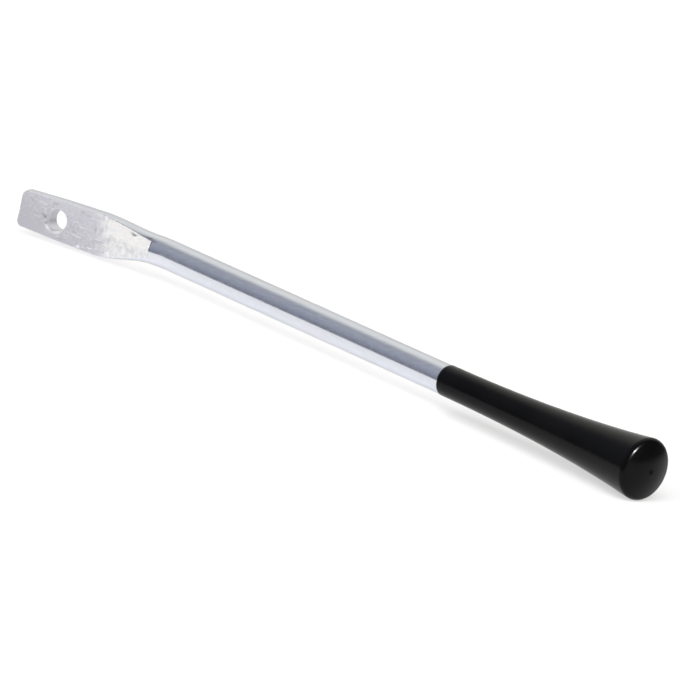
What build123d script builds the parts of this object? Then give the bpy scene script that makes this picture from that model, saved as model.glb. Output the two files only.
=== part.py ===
from build123d import *

import math
import os

# Hand lever: a round steel bar, one end pressed flat into a drilled blade and bent, the other end
# turned down to a tang that holds a moulded plastic grip.
#
# Frame, in millimetres: the origin is the centre of the pivot hole, whose axis is Y. The blade lies
# along X and stands on its edge, +Z up. The bar leaves the blade towards +X and leans towards -Y.

# ---- Driving dimensions ----
bar_diameter = 16.0
bend_angle = 15.0
bend_radius = 45.0
bend_x = 66.0  # where the blade's centre line meets the bar's axis
bar_rise = 1.6  # the bar's axis runs this far above the blade's centre line

blade_thickness = 8.0
tip_x = -24.7
tip_half_width = 10.2
hole_half_width = 11.3
flat_half_width = 11.8
tip_corner_radius = 2.6
flat_end_x = 25.0  # the flat faces end here and the ramps begin

pivot_diameter = 11.0
pivot_chamfer = 0.4

shoulder_x = 60.2  # the press left a small step here, where the ramps meet the bar
shoulder_step = 1.1
ramp_ridge_angle = 3.0  # each ramp is a low roof: its two facets fall away from a middle ridge
ramp_ridge_z = 0.8
lip_radius = 0.5  # a bead of metal pushed up in front of the press
lip_arc = 56.0

shank_length = 218.1  # from the bend point to the grip's mouth
shank_chamfer = 0.5
tang_diameter = 12.0
tang_length = 100.0
tang_chamfer = 1.0
groove_depth = 0.8
groove_width = 4.0
groove_places = (30.0, 70.0)  # from the grip's mouth

grip_length = 147.9
mouth_radius = 8.25
flare_radius = 16.5
flare_place = 143.9
rim_fillet = 3.0
mouth_round = 0.35
bore_end_gap = 1.5
gate_mark_radius = 1.3
gate_stub_radius = 0.5
gate_mark_depth = 0.5

# ---- Worked out from them ----
bar_radius = bar_diameter / 2
tang_radius = tang_diameter / 2
half_thickness = blade_thickness / 2
bend_tangent = bend_radius * math.tan(math.radians(bend_angle) / 2)
round_start_x = bend_x - bend_tangent  # the bar is fully round from here on
bar_way = Vector(math.cos(math.radians(bend_angle)), -math.sin(math.radians(bend_angle)), 0)
bend_point = Vector(bend_x, 0, bar_rise)
mouth_point = bend_point + bar_way * shank_length

# The bar's own plane: its local X runs along the bar from the grip's mouth, its local Y is radial.
mouth_plane = Plane(origin=mouth_point, x_dir=bar_way, z_dir=(0, 0, 1))
bar_axis = Axis(mouth_point, bar_way)
end_plane = Plane(origin=mouth_point + bar_way * grip_length, z_dir=bar_way)

# The grip's outline from its mouth, as (distance along the bar, radius), and its domed end.
flare_points = [(0, mouth_radius), (41, 8.85), (81, 10.6), (116, 13.3), (flare_place, flare_radius)]
dome_height = grip_length - flare_place
dome_radius = (flare_radius**2 + dome_height**2) / (2 * dome_height)
dome_angle = math.degrees(math.asin(flare_radius / dome_radius))
bore_depth = tang_length + bore_end_gap


def swell(x):
    """Share of the blade's full width at x: 0 on the round bar, 1 where the flat faces end."""
    share = (round_start_x - x) / (round_start_x - flat_end_x)
    share = min(max(share, 0.0), 1.0)
    return share * share * (3 - 2 * share)


def half_width(x):
    """Half the width of the forging at x, before its faces are pressed flat."""
    return bar_radius + (flat_half_width - bar_radius) * swell(x)


# ---- Steel bar ----
ramp_sections = 9
ramp_pitch = (round_start_x - flat_end_x) / (ramp_sections - 1)
stations = [
    (x, half_width(x), bar_rise * (1 - swell(x)))
    for x in (round_start_x - ramp_pitch * i for i in range(ramp_sections))
]
stations.append((flat_end_x / 2, (flat_half_width + hole_half_width) / 2, 0.0))
stations.append((0.0, hole_half_width, 0.0))
stations.append((tip_x / 2, (hole_half_width + tip_half_width) / 2, 0.0))
stations.append((tip_x, tip_half_width, 0.0))

press_reach = 40.0  # larger than the forging, so the press tools cut right across it
press_overrun = 10.0  # and run past its tip and the shoulder
ridge_start_x = 5.0  # below the flat face here, so the ridge comes out of it at flat_end_x
press_length = shoulder_x - tip_x + press_overrun


def ridge_height(x, shoulder_height):
    """Height of a ramp's ridge above the blade's middle plane at x."""
    slope = (shoulder_height - half_thickness) / (shoulder_x - flat_end_x)
    return half_thickness + slope * (x - flat_end_x)


def press_tool(side, shoulder_height):
    """What the press clears on one side (-1 front, 1 back): all outside the flat face and the roof."""
    eave_drop = press_reach * math.tan(math.radians(ramp_ridge_angle))
    with BuildPart() as tool:
        with BuildSketch(Plane.XZ.offset(-side * half_thickness)):
            with Locations((shoulder_x, 0)):
                Rectangle(press_length, 2 * press_reach, align=(Align.MAX, Align.CENTER))
        extrude(amount=-side * press_reach)
        for x in (ridge_start_x, shoulder_x + press_overrun):
            height = ridge_height(x, shoulder_height)
            with BuildSketch(Plane.YZ.offset(x)):
                with BuildLine():
                    Polyline(
                        (side * height, ramp_ridge_z),
                        (side * (height - eave_drop), press_reach),
                        (-side * press_reach, press_reach),
                        (-side * press_reach, -press_reach),
                        (side * (height - eave_drop), -press_reach),
                        close=True,
                    )
                make_face()
        loft(ruled=True, mode=Mode.SUBTRACT)
    return tool.part


shoulder_lean = math.asin((shoulder_x - round_start_x) / bend_radius)
shoulder_drift = -bend_radius * (1 - math.cos(shoulder_lean))
shoulder_centre = Vector(shoulder_x, shoulder_drift, bar_rise)
shoulder_way = Vector(math.cos(shoulder_lean), -math.sin(shoulder_lean), 0)
shoulder_plane = Plane(origin=shoulder_centre, x_dir=shoulder_way, z_dir=(0, -1, 0))
shoulder_axis = Axis(shoulder_centre, shoulder_way)
lip_ring_radius = bar_radius - lip_radius / 2
front_tool = press_tool(-1, bar_radius - shoulder_step - shoulder_drift)
back_tool = press_tool(1, bar_radius - shoulder_step + shoulder_drift)

groove_ends = [(place - groove_width / 2, place + groove_width / 2) for place in groove_places]
tang_line = [(0, tang_radius)]
for near, far in groove_ends:
    tang_line.append((near, tang_radius))
    tang_line.append((near, tang_radius - groove_depth))
    tang_line.append((far, tang_radius - groove_depth))
    tang_line.append((far, tang_radius))

with BuildPart() as lever_bar:
    # The forging before it is pressed: round sections that swell from the bar to the blade.
    for x, radius, z in stations:
        with BuildSketch(Plane.YZ.offset(x)):
            with Locations((0, z)):
                Circle(radius)
    loft()
    # The round bar, through the bend to just short of the grip's mouth.
    with BuildLine():
        bend = JernArc((round_start_x, 0, bar_rise), (1, 0, 0), bend_radius, -bend_angle)
        Line(bend @ 1, mouth_point - bar_way * shank_chamfer)
    with BuildSketch(Plane.YZ.offset(round_start_x)):
        with Locations((0, bar_rise)):
            Circle(bar_radius)
    sweep()
    # Its chamfered end and the turned tang, with two grooves that the plastic fills.
    with BuildSketch(mouth_plane):
        with BuildLine():
            Polyline(
                (-shank_chamfer, 0),
                (-shank_chamfer, bar_radius),
                (0, bar_radius - shank_chamfer),
                *tang_line,
                (tang_length - tang_chamfer, tang_radius),
                (tang_length, tang_radius - tang_chamfer),
                (tang_length, 0),
                close=True,
            )
        make_face()
    revolve(axis=bar_axis)
    # The pressed faces, then the pivot hole through them.
    add(front_tool, mode=Mode.SUBTRACT)
    add(back_tool, mode=Mode.SUBTRACT)
    # The corners of the tip.
    tip_edges = lever_bar.edges().group_by(Axis.X)[0]
    tip_edges = tip_edges.filter_by(lambda edge: abs(edge.center().Z) > half_thickness)
    fillet(tip_edges, radius=tip_corner_radius)
    with Locations(Plane.XZ):
        Hole(pivot_diameter / 2)
    rims = lever_bar.edges().filter_by(GeomType.CIRCLE)
    rims = rims.filter_by(lambda rim: abs(rim.radius - pivot_diameter / 2) < 0.01)
    chamfer(rims, length=pivot_chamfer)
    # The bead of metal that the press pushed up at the end of each ramp.
    for facing in (-90, 90):
        with BuildSketch(shoulder_plane.rotated((facing - lip_arc / 2, 0, 0))):
            with Locations((lip_radius, lip_ring_radius)):
                Circle(lip_radius)
        revolve(axis=shoulder_axis, revolution_arc=lip_arc)

# ---- Plastic grip ----
with BuildPart() as grip:
    with BuildSketch(mouth_plane):
        with BuildLine():
            flare = Spline(*flare_points)
            dome = CenterArc((grip_length - dome_radius, 0), dome_radius, 0, dome_angle)
            bore_end = Polyline(dome @ 0, (bore_depth, 0), (bore_depth, tang_radius))
            bore = Polyline(bore_end @ 1, *reversed(tang_line))
            Line(bore @ 1, flare @ 0)
        make_face()
    revolve(axis=bar_axis)
    for radius, rounding in ((flare_radius, rim_fillet), (mouth_radius, mouth_round)):
        rim = grip.edges().filter_by(GeomType.CIRCLE)
        rim = rim.filter_by(lambda edge: abs(edge.radius - radius) < 0.01)
        fillet(rim, radius=rounding)
    # The gate mark in the middle of the end: a shallow recess round the stub of the sprue.
    with BuildSketch(end_plane):
        Circle(gate_mark_radius)
        Circle(gate_stub_radius, mode=Mode.SUBTRACT)
    extrude(amount=-gate_mark_depth, mode=Mode.SUBTRACT)

lever_bar.part.label = "lever_bar"
grip.part.label = "grip"

os.makedirs("parts", exist_ok=True)
export_step(lever_bar.part, "parts/lever_bar.step")
export_step(grip.part, "parts/grip.step")
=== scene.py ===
import math

import bmesh
import bpy
import numpy as np
from mathutils import Matrix, Vector


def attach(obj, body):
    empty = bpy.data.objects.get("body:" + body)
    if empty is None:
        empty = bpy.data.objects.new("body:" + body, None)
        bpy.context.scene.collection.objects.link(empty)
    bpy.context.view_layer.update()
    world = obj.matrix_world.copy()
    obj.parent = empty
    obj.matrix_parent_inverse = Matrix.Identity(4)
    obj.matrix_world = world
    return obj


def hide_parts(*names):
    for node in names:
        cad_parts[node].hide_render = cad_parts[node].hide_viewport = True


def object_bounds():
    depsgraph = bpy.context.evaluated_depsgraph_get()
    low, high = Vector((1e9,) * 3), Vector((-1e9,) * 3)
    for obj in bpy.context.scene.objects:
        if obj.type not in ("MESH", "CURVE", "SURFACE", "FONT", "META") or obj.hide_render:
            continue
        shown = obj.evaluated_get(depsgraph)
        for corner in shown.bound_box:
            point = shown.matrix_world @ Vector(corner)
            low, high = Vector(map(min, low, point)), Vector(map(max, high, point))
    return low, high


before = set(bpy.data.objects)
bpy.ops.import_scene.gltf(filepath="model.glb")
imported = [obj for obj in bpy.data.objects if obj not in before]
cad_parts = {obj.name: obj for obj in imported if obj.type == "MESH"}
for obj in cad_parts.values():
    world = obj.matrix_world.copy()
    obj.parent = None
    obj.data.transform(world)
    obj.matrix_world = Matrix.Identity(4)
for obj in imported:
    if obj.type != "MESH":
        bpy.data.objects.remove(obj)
cad_low, cad_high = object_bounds()

MM = 0.001
DEG = math.pi / 180

# ---- The bar's dimensions, as the CAD model has them, in millimetres ----
BAR_RADIUS = 8.0
BEND_ANGLE = 15.0 * DEG
BEND_RADIUS = 45.0
BEND_X = 66.0
BAR_RISE = 1.6
HALF_THICKNESS = 4.0
TIP_X = -24.7
TIP_HALF_WIDTH = 10.2
HOLE_HALF_WIDTH = 11.3
FLAT_HALF_WIDTH = 11.8
TIP_CORNER = 2.6
FLAT_END_X = 25.0
PIVOT_RADIUS = 5.5
PIVOT_CHAMFER = 0.4
SHOULDER_X = 60.2
SHOULDER_STEP = 1.1
SHANK_LENGTH = 218.1
SHANK_CHAMFER = 0.5
TANG_RADIUS = 6.0
TANG_LENGTH = 100.0
TANG_CHAMFER = 1.0
GROOVE_DEPTH = 0.8
GROOVES = ((28.0, 32.0), (68.0, 72.0))  # from the grip's mouth

ROUND_START_X = BEND_X - BEND_RADIUS * math.tan(BEND_ANGLE / 2)  # the bend starts here
BAR_WAY = np.array((math.cos(BEND_ANGLE), -math.sin(BEND_ANGLE), 0.0))
BAR_SIDE = np.array((math.sin(BEND_ANGLE), math.cos(BEND_ANGLE), 0.0))
BEND_POINT = np.array((BEND_X, 0.0, BAR_RISE))  # where the two centre lines meet

# ---- Where the visible steel differs from the CAD model: wear, and facets that lean more ----
EDGE_ROUND = 0.45  # the blade's edges are blunt
BORE_ROUND = 0.15
CHAMFER_ROUND = 0.2
SOFT_CREASE = 0.5
SHOULDER_CREASE = 0.35
RIDGE_START_Z = 2.7  # where the ramp's ridge leaves the flat face
RIDGE_END_Z = 0.0  # and where it meets the shoulder
UPPER_FALL = 0.10  # how fast the ramp's upper facet falls away from the ridge, at the shoulder
LOWER_FALL = 0.05
SHOULDER_LEAN = 0.08  # the shoulder's edge leans towards the bar as it goes up
SHOULDER_WEAR = 0.6  # and it is worn back towards the hole
LIP_RADIUS = 0.3  # the bead in front of the shoulder is smaller
LIP_ARC = 56.0 * DEG
LIP_MIDDLE = 12.0 * DEG  # its middle lies this far above the bar's centre line
LIP_CREASE = 0.3

# ---- Camera ----
CAMERA_AZIMUTH = 29.034
CAMERA_ELEVATION = 12.519
CAMERA_ROLL = 12.52  # the object leans this far clockwise in the picture
CAMERA_DISTANCE = 4.4  # metres
FOCAL_LENGTH = 441.9  # millimetres, like the sensor
SENSOR_WIDTH = 36.0
AIM = Vector((146.6, -63.3)) * MM  # from the pivot hole, to the camera's right and up


def camera_axes(azimuth, elevation, roll):
    """The camera's right, up and backward directions."""
    a, e, r = azimuth * DEG, elevation * DEG, roll * DEG
    back = Vector((math.sin(a) * math.cos(e), -math.cos(a) * math.cos(e), math.sin(e)))
    level_right = Vector((math.cos(a), math.sin(a), 0))
    level_up = back.cross(level_right)
    right = level_right * math.cos(r) + level_up * math.sin(r)
    up = level_up * math.cos(r) - level_right * math.sin(r)
    return right, up, back


def make_camera():
    right, up, back = camera_axes(CAMERA_AZIMUTH, CAMERA_ELEVATION, CAMERA_ROLL)
    data = bpy.data.cameras.new("camera")
    data.sensor_width = SENSOR_WIDTH
    data.lens = FOCAL_LENGTH
    data.clip_start = 0.1
    data.clip_end = 50
    camera = bpy.data.objects.new("camera", data)
    bpy.context.scene.collection.objects.link(camera)
    place = right * AIM.x + up * AIM.y + back * CAMERA_DISTANCE
    turn = Matrix((right, up, back)).transposed().to_4x4()
    camera.matrix_world = Matrix.Translation(place) @ turn
    bpy.context.scene.camera = camera


# ---- The blade's shape, as a distance field in millimetres ----
def smooth_step(low, high, x):
    t = np.clip((x - low) / (high - low), 0, 1)
    return t * t * (3 - 2 * t)


def blend_min(a, b, k):
    """The lower of two fields, with a soft change-over k wide."""
    h = np.clip(0.5 + 0.5 * (b - a) / k, 0, 1)
    return b + (a - b) * h - k * h * (1 - h)


def blend_max(a, b, k):
    return -blend_min(-a, -b, k)


def rounded_meet(a, b, radius):
    """What two solids share, with the edge where they meet rounded to radius."""
    reach = np.hypot(np.maximum(a + radius, 0), np.maximum(b + radius, 0))
    return np.minimum(np.maximum(a, b), -radius) + reach


def ripples(p, height, wavelength, count, seed):
    """A smooth random field of about this height: plane waves in seeded directions."""
    dice = np.random.default_rng(seed)
    total = np.zeros(len(p))
    for _ in range(count):
        way = dice.normal(size=3)
        way /= np.linalg.norm(way)
        length = wavelength * dice.uniform(0.7, 1.5)
        total += np.cos(p @ way * (2 * math.pi / length) + dice.uniform(0, 2 * math.pi))
    return height * (total / math.sqrt(count))


def bar_side_offset(p):
    """Sideways distance from the bar's centre line, through the bend."""
    along = p[:, 0] - ROUND_START_X
    out = p[:, 1] + BEND_RADIUS
    turned = np.arctan2(along, out)
    in_bend = np.hypot(along, out) - BEND_RADIUS
    past_bend = (p - BEND_POINT) @ BAR_SIDE
    return np.where(along < 0, p[:, 1], np.where(turned < BEND_ANGLE, in_bend, past_bend))


# Dents and raised spots on the front face, in millimetres, as x, z, half length, half height and
# depth. A raised spot's depth is below 0.
DENTS = (
    (-8.1, -0.2, 0.8, 0.7, 0.42),
    (-6.9, -3.2, 0.6, 0.5, 0.3),
    (-9.6, 0.6, 0.6, 0.5, 0.3),
    (15.3, -9.6, 1.1, 0.8, -0.2),
    (13.9, -8.8, 0.8, 0.5, 0.12),
    (10.7, -2.9, 0.9, 0.5, 0.12),
    (14.3, 8.6, 1.2, 0.6, 0.15),
    (18.2, 7.9, 1.5, 0.5, 0.12),
    (48.6, 6.5, 1.2, 0.55, 0.75),
    (46.8, 7.2, 1.0, 0.4, 0.5),
    (50.2, 5.6, 0.9, 0.5, -0.25),
    (-18.0, 6.2, 1.5, 0.8, 0.1),
    (-3.0, 8.3, 1.8, 0.7, 0.1),
    (4.0, -9.0, 1.6, 0.6, 0.1),
    (59.4, 3.4, 0.6, 0.9, -0.45),
    (24.0, 3.0, 0.6, 2.2, 0.12),
    (26.5, 1.0, 0.5, 2.0, 0.12),
    (30.0, -5.2, 2.4, 0.4, 0.12),
    (26.0, -3.4, 2.2, 0.35, 0.1),
)
# Painted shade on the front face, as x, z, half length, half height, strength: a dark streak along the
# ramp's top by the shoulder, and two on the hole's left rim.
PAINTED_SHADE_SPOTS = (
    (54.5, 7.6, 2.6, 0.35, 0.55),
    (58.5, 7.5, 2.2, 0.5, 0.75),
    (61.5, 6.9, 1.5, 0.4, 0.5),
    (-6.3, 0.8, 0.4, 1.2, 0.35),
    (-5.9, -1.6, 0.35, 0.8, 0.35),
)
# The burr round part of the hole, and painted shade in the groove between the two.
BURR_MIDDLE = -108.0 * DEG  # round the hole, from +X towards +Z
BURR_SPREAD = 36.0 * DEG
BURR_RING = 6.85
BURR_DRIFT = 1.3  # the burr lies further from the hole on the tip's side
BURR_WIDTH = 0.65
BURR_HEIGHT = 1.1
BURR_SHADE = 0.7
BURR_SHADE_RING = BURR_RING - 0.9
BURR_SHADE_WIDTH = 0.3
# Unevenness, as height, wavelength, number of waves, seed.
FACE_WAVES = (0.035, 7.0, 20, 11)
FACE_GRAIN = (0.012, 2.6, 24, 12)
CHAMFER_WAVES = (0.08, 5.0, 12, 13)
RAGGED_EDGE = (0.22, 3.5, 20, 14)  # where the finishes meet
MATTE_OVER_EDGE = 0.35  # the flat faces' finish reaches this far over their blunt edges


def forging_field(p):
    """About how far a point is outside the forging before it is pressed: below 0 inside."""
    x, z = p[:, 0], p[:, 2]
    swell = 1 - smooth_step(FLAT_END_X, ROUND_START_X, x)
    width = np.interp(x, (TIP_X, 0, FLAT_END_X), (TIP_HALF_WIDTH, HOLE_HALF_WIDTH, FLAT_HALF_WIDTH))
    radius = BAR_RADIUS + (width - BAR_RADIUS) * swell
    height = z - BAR_RISE * (1 - swell)
    forging = np.hypot(bar_side_offset(p), height) - radius
    return rounded_meet(forging, TIP_X - x, TIP_CORNER)


def above_ridge(p):
    """How far a point is above the ramp's ridge line."""
    return p[:, 2] - np.interp(p[:, 0], (FLAT_END_X, SHOULDER_X), (RIDGE_START_Z, RIDGE_END_Z))


def ramp_rise(p):
    """How far the ramp's two facets stand out of the flat face: a low roof that climbs."""
    x = p[:, 0]
    climb = (BAR_RADIUS - SHOULDER_STEP - HALF_THICKNESS) / (SHOULDER_X - FLAT_END_X)
    upper_fall = UPPER_FALL * smooth_step(FLAT_END_X, SHOULDER_X, x)
    over = above_ridge(p)
    eave = blend_max(upper_fall * over, -LOWER_FALL * over, SOFT_CREASE)
    return climb * (x - FLAT_END_X) - eave


def dent_depth(p):
    x, z = p[:, 0], p[:, 2]
    total = np.zeros(len(p))
    for dx, dz, length, tall, depth in DENTS:
        total += depth * np.exp(-(((x - dx) / length) ** 2) - ((z - dz) / tall) ** 2)
    return total * (p[:, 1] < 0)


def hole_arc(p, radius, width):
    """Part of a ring round the hole, on the side where the drill left its burr, from 0 to 1."""
    x, z = p[:, 0], p[:, 2]
    off_turn = np.angle(np.exp(1j * (np.arctan2(z, x) - BURR_MIDDLE)))
    off_ring = np.hypot(x, z) - (radius - BURR_DRIFT * np.sin(off_turn))
    return np.exp(-((off_ring / width) ** 2) - (off_turn / BURR_SPREAD) ** 2) * (p[:, 1] < 0)


def burr(p):
    return hole_arc(p, BURR_RING, BURR_WIDTH)


def painted_shade(p):
    """How dark the painted shade on the front is: 0 where none is painted."""
    x, z = p[:, 0], p[:, 2]
    total = BURR_SHADE * hole_arc(p, BURR_SHADE_RING, BURR_SHADE_WIDTH)
    for sx, sz, length, tall, strength in PAINTED_SHADE_SPOTS:
        spot = np.exp(-(((x - sx) / length) ** 2) - ((z - sz) / tall) ** 2)
        total += strength * spot * (p[:, 1] < 0)
    return total


def pressed_field(p):
    """About how far a point is outside the surface that the press left."""
    x, y, z = p[:, 0], p[:, 1], p[:, 2]
    face = HALF_THICKNESS + blend_max(ramp_rise(p), np.zeros(len(p)), SOFT_CREASE)
    face = face - dent_depth(p) + BURR_HEIGHT * burr(p)
    face = face + ripples(p, *FACE_WAVES) + ripples(p, *FACE_GRAIN)
    shoulder = SHOULDER_X - SHOULDER_WEAR + SHOULDER_LEAN * (z - BAR_RISE) - x
    return blend_min(np.abs(y) - face, shoulder, SHOULDER_CREASE)


def blade_field(p):
    """About how far a point is outside the blade, the ramps and the bend: below 0 inside."""
    x, y, z = p[:, 0], p[:, 1], p[:, 2]
    solid = rounded_meet(forging_field(p), pressed_field(p), EDGE_ROUND)

    # The bead pushed up at the shoulder, front and back.
    ring_x = SHOULDER_X - SHOULDER_WEAR + LIP_RADIUS + SHOULDER_LEAN * (z - BAR_RISE)
    lean = np.abs(np.arctan2(z - BAR_RISE, np.abs(y)) - LIP_MIDDLE)
    lip_size = LIP_RADIUS * (1 - smooth_step(LIP_ARC / 2, LIP_ARC * 0.9, lean))
    around = np.hypot(bar_side_offset(p), z - BAR_RISE) - (BAR_RADIUS - LIP_RADIUS / 2)
    lip = np.hypot(x - ring_x, around) - lip_size
    solid = blend_min(solid, lip, LIP_CREASE)

    # The pivot hole and its chamfers, a little uneven.
    ring = np.hypot(x, z)
    hole = PIVOT_RADIUS - ring
    flare = PIVOT_RADIUS + PIVOT_CHAMFER + ripples(p, *CHAMFER_WAVES) - ring
    chamfer = (flare - np.maximum(HALF_THICKNESS - np.abs(y), 0)) / math.sqrt(2)
    return rounded_meet(rounded_meet(solid, hole, BORE_ROUND), chamfer, CHAMFER_ROUND)


def field_normals(p, step=0.03):
    slopes = []
    for axis in np.eye(3):
        slopes.append(blade_field(p + axis * step) - blade_field(p - axis * step))
    normals = np.stack(slopes, axis=1)
    return normals / np.linalg.norm(normals, axis=1)[:, None]


def settle(p, rounds=5, longest_step=0.4):
    """Moves points onto the surface of the blade field."""
    for _ in range(rounds):
        value = blade_field(p)
        normals = field_normals(p)
        p = p - normals * np.clip(value, -longest_step, longest_step)[:, None]
    return p


# ---- The bar's mesh ----
BLADE_CUT = 10.0  # past the bend point, along the bar: the dense blade mesh ends here
CUT_SPARE = 3.0  # the shape is meshed this much further, so the cut is clean
BLADE_GRID = 0.45
SHANK_SIDES = 192
BLUNT_LENGTH = 0.15  # the chamfer at the grip's mouth starts with a blunt corner
BLUNT_DEPTH = 0.05


def cut_away(mesh_data, place, way, fill):
    """Removes what lies past a plane across the bar."""
    grid = bmesh.new()
    grid.from_mesh(mesh_data)
    everything = grid.verts[:] + grid.edges[:] + grid.faces[:]
    done = bmesh.ops.bisect_plane(
        grid, geom=everything, dist=1e-7, plane_co=place, plane_no=way, clear_outer=True
    )
    if fill:
        rim = [item for item in done["geom_cut"] if isinstance(item, bmesh.types.BMEdge)]
        bmesh.ops.holes_fill(grid, edges=rim)
    grid.to_mesh(mesh_data)
    grid.free()


def blade_mesh():
    """The blade end as a dense mesh in millimetres, with its normals, its finishes and its painted
    shade and highlights.
    """
    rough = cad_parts["lever_bar"].data.copy()
    spare_place = Vector((BEND_POINT + BAR_WAY * (BLADE_CUT + CUT_SPARE)) * MM)
    joined = bmesh.new()
    joined.from_mesh(rough)
    bmesh.ops.remove_doubles(joined, verts=joined.verts, dist=1e-6)
    joined.to_mesh(rough)
    joined.free()
    cut_away(rough, spare_place, Vector(BAR_WAY), fill=True)
    scratch = bpy.data.objects.new("scratch", rough)
    bpy.context.scene.collection.objects.link(scratch)
    remesh = scratch.modifiers.new("grid", "REMESH")
    remesh.mode = "VOXEL"
    remesh.voxel_size = BLADE_GRID * MM
    view = bpy.context.evaluated_depsgraph_get()
    dense = bpy.data.meshes.new_from_object(scratch.evaluated_get(view))
    bpy.data.objects.remove(scratch)
    points = np.empty(len(dense.vertices) * 3)
    dense.vertices.foreach_get("co", points)
    points = settle(points.reshape(-1, 3) / MM)
    dense.vertices.foreach_set("co", (points * MM).ravel())
    cut_place = Vector((BEND_POINT + BAR_WAY * BLADE_CUT) * MM)
    cut_away(dense, cut_place, Vector(BAR_WAY), fill=False)
    points = np.empty(len(dense.vertices) * 3)
    dense.vertices.foreach_get("co", points)
    points = points.reshape(-1, 3) / MM
    faces = [tuple(face.vertices) for face in dense.polygons]
    return points, faces, field_normals(points), finish_shares(points)


def finish_shares(p):
    """Where each finish, the painted shade and the painted highlight show on the blade end, from 0 to
    1 at each point.
    """
    # On the ramps the blade's finish stops at the edge.
    over_edge = MATTE_OVER_EDGE * (1 - smooth_step(20, 40, p[:, 0]))
    pressed = smooth_step(-0.15, 0.15, pressed_field(p) - forging_field(p) + over_edge)
    ragged = ripples(p, *RAGGED_EDGE)
    ramp = smooth_step(-0.4, 0.65, ramp_rise(p) + 1.4 * ragged) * pressed
    return {
        "pressed": pressed,
        "ramp": ramp,
        # the ramp's upper facet, painted paler than the lower facet as if lit
        "upper": ramp * smooth_step(-1.5, 1.0, above_ridge(p) + 3 * ragged),
        # painted shade by the burr, along the ramp's top and on the hole's rim, and the dents darkened
        "dents_and_painted_shade": np.clip(dent_depth(p) / 0.35 + painted_shade(p), 0, 1),
        # painted highlight on the burr and the raised spots
        "bright": np.clip(1.5 * burr(p) - dent_depth(p) / 0.3, 0, 1),
        "bore": 1 - smooth_step(0.3, 0.7, np.hypot(p[:, 0], p[:, 2]) - PIVOT_RADIUS),
    }


def shank_profile():
    """(distance past the bend point, radius) from the cut, through the tang, to the end."""
    mouth = SHANK_LENGTH
    line = [(BLADE_CUT, BAR_RADIUS), (mouth - SHANK_CHAMFER - BLUNT_LENGTH, BAR_RADIUS)]
    line += [(mouth - SHANK_CHAMFER, BAR_RADIUS - BLUNT_DEPTH), (mouth, BAR_RADIUS - SHANK_CHAMFER)]
    line.append((mouth, TANG_RADIUS))
    for near, far in GROOVES:
        line += [(mouth + near, TANG_RADIUS), (mouth + near, TANG_RADIUS - GROOVE_DEPTH)]
        line += [(mouth + far, TANG_RADIUS - GROOVE_DEPTH), (mouth + far, TANG_RADIUS)]
    end = mouth + TANG_LENGTH
    line += [(end - TANG_CHAMFER, TANG_RADIUS), (end, TANG_RADIUS - TANG_CHAMFER)]
    return line


def shank_mesh():
    """The round bar and its tang: one lathed surface, with each corner's points doubled."""
    points, faces, normals = [], [], []
    profile = shank_profile()
    for (s0, r0), (s1, r1) in zip(profile, profile[1:]):
        rings = 2 if s1 - s0 < 20 else 12
        slope = np.array((r0 - r1, s1 - s0)) / math.hypot(r0 - r1, s1 - s0)
        start = len(points)
        for i in range(rings):
            done = i / (rings - 1)
            s, r = s0 + (s1 - s0) * done, r0 + (r1 - r0) * done
            for j in range(SHANK_SIDES):
                turn = 2 * math.pi * j / SHANK_SIDES
                out = BAR_SIDE * math.cos(turn) + np.array((0, 0, 1)) * math.sin(turn)
                points.append(BEND_POINT + BAR_WAY * s + out * r)
                normals.append(BAR_WAY * slope[0] + out * slope[1])
        for i in range(rings - 1):
            for j in range(SHANK_SIDES):
                here = start + i * SHANK_SIDES
                there = here + SHANK_SIDES
                k = (j + 1) % SHANK_SIDES
                faces.append((here + j, here + k, there + k, there + j))
    faces.append(tuple(range(len(points) - SHANK_SIDES, len(points))))
    return np.array(points), faces, np.array(normals)


def make_lever():
    blade_points, blade_faces, blade_normals, shares = blade_mesh()
    shank_points, shank_faces, shank_normals = shank_mesh()
    offset = len(blade_points)
    points = np.concatenate((blade_points, shank_points)) * MM
    normals = np.concatenate((blade_normals, shank_normals))
    faces = blade_faces + [tuple(i + offset for i in face) for face in shank_faces]
    mesh_data = bpy.data.meshes.new("steel_lever")
    mesh_data.from_pydata(points.tolist(), [], faces)
    mesh_data.polygons.foreach_set("use_smooth", [True] * len(faces))
    mesh_data.normals_split_custom_set_from_vertices(normals.tolist())
    for name, values in shares.items():
        attribute = mesh_data.attributes.new(name, "FLOAT", "POINT")
        attribute.data.foreach_set("value", np.concatenate((values, np.zeros(len(shank_points)))))
    mesh_data.update()
    lever = bpy.data.objects.new("steel_lever", mesh_data)
    bpy.context.scene.collection.objects.link(lever)
    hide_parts("lever_bar")
    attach(lever, "root")
    lever.visible_shadow = False
    return lever


# ---- Materials ----
FLAT_DARK = (0.44, 0.435, 0.475)
FLAT_LIGHT = (0.58, 0.57, 0.615)
PAINTED_LIGHT_WAY = (0.34, 0.0, 0.94)  # painted light: the flat faces get paler this way, mostly upwards
PAINTED_LIGHT_RATE = 15.0  # and by so much in a metre
# Painted shade and light on the ramp: the lower facet is painted darker, as if shaded, and the upper
# facet paler, as if lit; the lower facet's mottle is its own.
SHADED_LOWER_DARK = (0.63, 0.63, 0.64)
SHADED_LOWER_LIGHT = (0.81, 0.81, 0.81)
LIT_UPPER_DARK = (0.80, 0.79, 0.78)
LIT_UPPER_LIGHT = (0.88, 0.87, 0.85)
SCRATCH_TONE = (0.74, 0.74, 0.76)
BORE_TONE = (0.52, 0.52, 0.55)
# Painted highlight: the burr and the raised spots are painted white.
PAINTED_HIGHLIGHT_TONE = (1.0, 1.0, 1.0)
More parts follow.
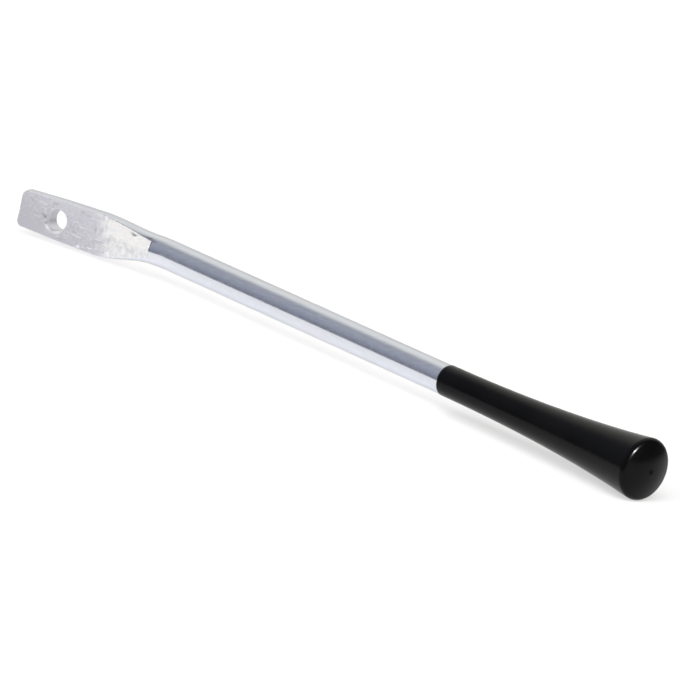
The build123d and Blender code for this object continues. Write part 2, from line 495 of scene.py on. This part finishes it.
# The tone of the painted shade and of the darkened dents.
DENT_AND_SHADE_TONE = (0.2, 0.2, 0.22)
MATTE_METAL = 0.3  # how metallic the frosted, pressed faces are
BAR_DARK = (0.65, 0.67, 0.72)
BAR_LIGHT = (0.70, 0.72, 0.77)
EDGE_TINT = (0.77, 0.77, 0.78, 1.0)  # plating is duller where it turns away
PLASTIC_DARK = (0.0012, 0.0012, 0.0014)
PLASTIC_LIGHT = (0.0022, 0.0022, 0.0025)
PLASTIC_IOR = 1.35
PLASTIC_SPECULAR = 0.19
FLOOR_DARK = (0.88, 0.88, 0.88)
FLOOR_LIGHT = (0.90, 0.90, 0.90)


def new_material(name):
    """A material with its node list, its links and its main shader."""
    material = bpy.data.materials.new(name)
    material.use_nodes = True
    tree = material.node_tree
    shader = tree.nodes["Principled BSDF"]
    return material, tree, shader


def add(tree, kind, **settings):
    node = tree.nodes.new(kind)
    for key, value in settings.items():
        if key in node.inputs:
            node.inputs[key].default_value = value
        else:
            setattr(node, key, value)
    return node


def math_node(tree, operation, first, second):
    node = add(tree, "ShaderNodeMath", operation=operation)
    for socket, value in zip(node.inputs, (first, second)):
        if isinstance(value, (int, float)):
            socket.default_value = value
        else:
            tree.links.new(value, socket)
    return node.outputs[0]


def span(tree, value, low, high, to_low=0.0, to_high=1.0):
    """Maps low..high onto to_low..to_high, held at both ends."""
    node = add(tree, "ShaderNodeMapRange", interpolation_type="SMOOTHSTEP")
    tree.links.new(value, node.inputs["Value"])
    for key, number in zip(("From Min", "From Max", "To Min", "To Max"), (low, high, to_low, to_high)):
        node.inputs[key].default_value = number
    return node.outputs["Result"]


def colour_mix(tree, amount, first, second):
    node = add(tree, "ShaderNodeMix", data_type="RGBA")
    tree.links.new(amount, node.inputs[0])
    for socket, value in ((node.inputs[6], first), (node.inputs[7], second)):
        if isinstance(value, tuple):
            socket.default_value = (*value, 1)
        else:
            tree.links.new(value, socket)
    return node.outputs[2]


def number_mix(tree, amount, first, second):
    node = add(tree, "ShaderNodeMix", data_type="FLOAT")
    tree.links.new(amount, node.inputs[0])
    for socket, value in ((node.inputs[2], first), (node.inputs[3], second)):
        if isinstance(value, float):
            socket.default_value = value
        else:
            tree.links.new(value, socket)
    return node.outputs[0]


def toward(tree, way, direction):
    """How far a place, or a way, reaches along a direction."""
    node = add(tree, "ShaderNodeVectorMath", operation="DOT_PRODUCT")
    tree.links.new(way, node.inputs[0])
    node.inputs[1].default_value = Vector(direction).normalized()
    return node.outputs["Value"]


def noise(tree, place, scale, detail=3.0, roughness=0.5):
    node = add(tree, "ShaderNodeTexNoise", Scale=scale, Detail=detail, Roughness=roughness)
    tree.links.new(place, node.inputs["Vector"])
    return node.outputs[0]


def stretched(tree, place, turn, size):
    """The place turned and then scaled, so that noise read there runs in streaks."""
    node = add(tree, "ShaderNodeMapping")
    tree.links.new(place, node.inputs["Vector"])
    node.inputs["Rotation"].default_value = turn
    node.inputs["Scale"].default_value = size
    return node.outputs[0]


def finish_share(tree, name):
    """How far one of the blade end's finishes, or its painted shade or highlight, shows, from 0 to 1.
    """
    return add(tree, "ShaderNodeAttribute", attribute_name=name).outputs["Fac"]


def scratches(tree, place, turn, along, across, least):
    """Fine lines on the front and back faces, turned away from the blade's length, from 0 to 1."""
    lines = noise(tree, stretched(tree, place, (0, turn, 0), (along, 1.0, across)), 1.0, 2.0)
    return span(tree, lines, least, least + 0.05)


def steel_material():
    material, tree, shader = new_material("zinc_plated_steel")
    place = add(tree, "ShaderNodeTexCoord").outputs["Object"]
    pressed = finish_share(tree, "pressed")
    ramp = finish_share(tree, "ramp")
    upper = finish_share(tree, "upper")

    # Noise scales count features per metre or so.
    mottle = noise(tree, place, 800.0, 4.0, 0.65)
    patches = noise(tree, place, 420.0, 4.0, 0.65)
    drawn = noise(tree, stretched(tree, place, (0, 0, 15 * DEG), (25.0, 900.0, 900.0)), 1.0, 2.0)
    fine = scratches(tree, place, 22 * DEG, 90.0, 1400.0, 0.62)
    on_ramp = scratches(tree, place, -8 * DEG, 60.0, 1100.0, 0.63)
    scored = math_node(tree, "MAXIMUM", fine, math_node(tree, "MULTIPLY", on_ramp, ramp))

    # Painted light: the flat faces grow paler upwards and to the right, on top of their mottle.
    paler = math_node(tree, "MULTIPLY", toward(tree, place, PAINTED_LIGHT_WAY), PAINTED_LIGHT_RATE)
    grain_and_painted_light = math_node(tree, "ADD", mottle, paler)
    flat_tone = colour_mix(tree, span(tree, grain_and_painted_light, 0.35, 0.70), FLAT_DARK, FLAT_LIGHT)
    # Painted shade and light: the ramp's lower facet is painted darker and its upper facet paler.
    shaded_lower_tone = colour_mix(tree, span(tree, patches, 0.38, 0.62), SHADED_LOWER_DARK, SHADED_LOWER_LIGHT)
    lit_upper_tone = colour_mix(tree, span(tree, mottle, 0.35, 0.60), LIT_UPPER_DARK, LIT_UPPER_LIGHT)
    ramp_tone = colour_mix(tree, upper, shaded_lower_tone, lit_upper_tone)
    blade_tone = colour_mix(tree, ramp, flat_tone, ramp_tone)
    blade_tone = colour_mix(tree, scored, blade_tone, SCRATCH_TONE)
    blade_tone = colour_mix(tree, finish_share(tree, "bore"), blade_tone, BORE_TONE)
    # Painted highlight on the burr and the raised spots.
    blade_tone = colour_mix(tree, finish_share(tree, "bright"), blade_tone, PAINTED_HIGHLIGHT_TONE)
    bar_tone = colour_mix(tree, span(tree, drawn, 0.3, 0.7), BAR_DARK, BAR_LIGHT)
    tone_before_shade = colour_mix(tree, pressed, bar_tone, blade_tone)
    # Painted shade by the burr, along the ramp's top and on the hole's rim; the dents are darkened
    # too.
    steel_tone = colour_mix(tree, finish_share(tree, "dents_and_painted_shade"), tone_before_shade, DENT_AND_SHADE_TONE)
    tree.links.new(steel_tone, shader.inputs["Base Color"])

    blade_rough = span(tree, patches, 0.3, 0.7, 0.34, 0.5)
    blade_rough = number_mix(tree, finish_share(tree, "bore"), blade_rough, 0.2)
    bar_rough = span(tree, drawn, 0.3, 0.7, 0.15, 0.21)
    tree.links.new(number_mix(tree, pressed, bar_rough, blade_rough), shader.inputs["Roughness"])
    shader.inputs["Specular Tint"].default_value = EDGE_TINT
    tree.links.new(span(tree, pressed, 0.0, 1.0, 1.0, MATTE_METAL), shader.inputs["Metallic"])

    relief = math_node(tree, "MULTIPLY", math_node(tree, "SUBTRACT", mottle, scored), pressed)
    bump = add(tree, "ShaderNodeBump", Strength=0.35, Distance=0.0001)
    tree.links.new(relief, bump.inputs["Height"])
    streaks = add(tree, "ShaderNodeBump", Strength=0.25, Distance=0.00002)
    tree.links.new(drawn, streaks.inputs["Height"])
    tree.links.new(bump.outputs[0], streaks.inputs["Normal"])
    tree.links.new(streaks.outputs[0], shader.inputs["Normal"])
    return material


def plastic_material():
    material, tree, shader = new_material("black_moulded_plastic")
    place = add(tree, "ShaderNodeTexCoord").outputs["Object"]
    cloud = noise(tree, place, 40.0, 3.0)
    grain = noise(tree, place, 1800.0, 2.0)
    plastic_tone = colour_mix(tree, span(tree, cloud, 0.3, 0.7), PLASTIC_DARK, PLASTIC_LIGHT)
    tree.links.new(plastic_tone, shader.inputs["Base Color"])
    tree.links.new(span(tree, cloud, 0.3, 0.7, 0.17, 0.23), shader.inputs["Roughness"])
    shader.inputs["IOR"].default_value = PLASTIC_IOR
    shader.inputs["Specular IOR Level"].default_value = PLASTIC_SPECULAR
    bump = add(tree, "ShaderNodeBump", Strength=0.3, Distance=0.00002)
    tree.links.new(grain, bump.inputs["Height"])
    tree.links.new(bump.outputs[0], shader.inputs["Normal"])
    return material


def floor_material():
    material, tree, shader = new_material("white_floor")
    place = add(tree, "ShaderNodeTexCoord").outputs["Object"]
    cloud = noise(tree, place, 6.0, 3.0)
    floor_tone = colour_mix(tree, cloud, FLOOR_DARK, FLOOR_LIGHT)
    tree.links.new(floor_tone, shader.inputs["Base Color"])
    shader.inputs["Roughness"].default_value = 0.9
    shader.inputs["Specular IOR Level"].default_value = 0.1
    return material


# ---- Studio ----
FLOOR_GAP = 0.0002  # metres
FLOOR_REACH = 6.0
KEY_STRENGTH = 2.4
KEY_SPREAD = 80.0 * DEG
KEY_WAY = Vector((0.28, -0.75, 0.56))  # towards the light: in front and above
AMBIENT = (0.20, 0.19, 0.185)
FILL_STRENGTH = 1.85
# The room across the bar, in degrees up from the front horizon, over the top to the back.
ROOM = (
    (0, (0.30, 0.315, 0.39)),
    (25, (0.38, 0.405, 0.475)),
    (45, (0.44, 0.455, 0.525)),
    (70, (0.44, 0.455, 0.505)),
    (82, (0.575, 0.59, 0.62)),
    (96, (0.915, 0.915, 0.87)),
    (120, (1.05, 1.04, 1.0)),
    (180, (0.84, 0.84, 0.81)),
)
FRONT_LOW = (0.26, 0.27, 0.325)
FRONT_LOW_NEAR = (0.40, 0.41, 0.47)  # the strip's end by the blade is paler
LAMP_WAYS = ((0.83, -0.30, 0.52), (0.76, -0.38, 0.56))  # towards each lamp
LAMP_SIZE = 9.0 * DEG
LAMP_STRENGTH = 6.0
END_DARK = (0.12, 0.12, 0.13)  # the room past the grip's end
# The strip's place in millimetres, its start and end measured along the bar from the bend point.
CARD_GAP = 66.0  # from the bar's axis
CARD_TOP = 4.0  # above it
CARD_START = -75.0
CARD_END = 480.0
CARD_NEAR_SHARE = 0.09  # how much of its length the paler end takes


def make_floor():
    grid = bmesh.new()
    low = cad_low.z - FLOOR_GAP
    corners = []
    for x_side, y_side in ((-1, -1), (1, -1), (1, 1), (-1, 1)):
        corners.append(grid.verts.new((x_side * FLOOR_REACH, y_side * FLOOR_REACH, low)))
    grid.faces.new(corners)
    bmesh.ops.subdivide_edges(grid, edges=grid.edges[:], cuts=7, use_grid_fill=True)
    mesh_data = bpy.data.meshes.new("floor")
    grid.to_mesh(mesh_data)
    grid.free()
    floor = bpy.data.objects.new("floor", mesh_data)
    bpy.context.scene.collection.objects.link(floor)
    mesh_data.materials.append(floor_material())


def make_key():
    data = bpy.data.lights.new("key", "SUN")
    data.energy = KEY_STRENGTH
    data.angle = KEY_SPREAD
    key = bpy.data.objects.new("key", data)
    key.rotation_mode = "QUATERNION"
    key.rotation_quaternion = KEY_WAY.to_track_quat("Z", "Y")
    key.visible_glossy = False
    bpy.context.scene.collection.objects.link(key)


def make_fill():
    """Light from above that casts no shadow, so the key's shadows stay faint."""
    data = bpy.data.lights.new("fill", "SUN")
    data.energy = FILL_STRENGTH
    data.use_shadow = False
    fill = bpy.data.objects.new("fill", data)
    fill.visible_glossy = False
    bpy.context.scene.collection.objects.link(fill)


def make_lamps():
    """Two small bright lamps that only the grip reflects: they put the spots on its rim."""
    shone_on = bpy.data.collections.new("shone_on")
    shone_on.objects.link(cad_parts["grip"])
    for way in LAMP_WAYS:
        data = bpy.data.lights.new("lamp", "SUN")
        data.energy = LAMP_STRENGTH
        data.angle = LAMP_SIZE
        lamp = bpy.data.objects.new("lamp", data)
        lamp.rotation_mode = "QUATERNION"
        lamp.rotation_quaternion = Vector(way).to_track_quat("Z", "Y")
        lamp.visible_diffuse = False
        lamp.light_linking.receiver_collection = shone_on
        bpy.context.scene.collection.objects.link(lamp)


def make_card():
    """A low strip along the front that only reflections see: it gives the bar its dark band."""
    start, end = BEND_POINT + BAR_WAY * CARD_START, BEND_POINT + BAR_WAY * CARD_END
    low, high = cad_low.z, (BAR_RISE + CARD_TOP) * MM
    corners = []
    for place, z in ((start, low), (end, low), (end, high), (start, high)):
        foot = (place - BAR_SIDE * CARD_GAP) * MM
        corners.append((foot[0], foot[1], z))
    mesh_data = bpy.data.meshes.new("front_card")
    mesh_data.from_pydata(corners, [], [(0, 1, 2, 3)])
    card = bpy.data.objects.new("front_card", mesh_data)
    bpy.context.scene.collection.objects.link(card)
    material, tree, shader = new_material("dark_card")
    shader.inputs["Base Color"].default_value = (0, 0, 0, 1)
    shader.inputs["Specular IOR Level"].default_value = 0.0
    along = add(tree, "ShaderNodeSeparateXYZ")
    tree.links.new(add(tree, "ShaderNodeTexCoord").outputs["Generated"], along.inputs[0])
    far = span(tree, along.outputs[0], 0.0, CARD_NEAR_SHARE)
    tree.links.new(colour_mix(tree, far, FRONT_LOW_NEAR, FRONT_LOW), shader.inputs["Emission Color"])
    shader.inputs["Emission Strength"].default_value = 1.0
    mesh_data.materials.append(material)
    card.visible_camera = False
    card.visible_diffuse = False
    card.visible_shadow = False


def make_world():
    """A room that is dark in front of the object and bright overhead and behind it.

    Reflections see the room. Rough surfaces get one even tone instead, and the camera sees white.
    """
    world = bpy.data.worlds.new("studio")
    bpy.context.scene.world = world
    world.use_nodes = True
    tree = world.node_tree
    background = tree.nodes["Background"]
    way = add(tree, "ShaderNodeTexCoord").outputs["Generated"]
    ahead = toward(tree, way, -BAR_SIDE)
    overhead = toward(tree, way, (0, 0, 1))
    angle = math_node(tree, "ARCTAN2", overhead, ahead)
    turn = math_node(tree, "DIVIDE", angle, math.pi)
    ramp = add(tree, "ShaderNodeValToRGB")
    tree.links.new(turn, ramp.inputs[0])
    stops = ramp.color_ramp.elements
    stops[0].position, stops[0].color = ROOM[0][0] / 180, (*ROOM[0][1], 1)
    stops[1].position, stops[1].color = ROOM[-1][0] / 180, (*ROOM[-1][1], 1)
    for degrees, colour in ROOM[1:-1]:
        stop = stops.new(degrees / 180)
        stop.color = (*colour, 1)
    past_end = span(tree, toward(tree, way, BAR_WAY), 0.0, 0.3)
    room = colour_mix(tree, past_end, ramp.outputs[0], END_DARK)
    rays = add(tree, "ShaderNodeLightPath")
    lit = colour_mix(tree, rays.outputs["Is Diffuse Ray"], room, AMBIENT)
    seen = colour_mix(tree, rays.outputs["Is Camera Ray"], lit, (1.0, 1.0, 1.0))
    tree.links.new(seen, background.inputs["Color"])
    background.inputs["Strength"].default_value = 1.0


# ---- The scene ----
make_camera()
make_world()
make_key()
make_fill()
make_lamps()
make_floor()
make_card()

steel = steel_material()
lever = make_lever()
lever.data.materials.append(steel)
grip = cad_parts["grip"]
grip.data.materials.clear()
grip.data.materials.append(plastic_material())
bpy.context.scene.view_settings.view_transform = "Standard"
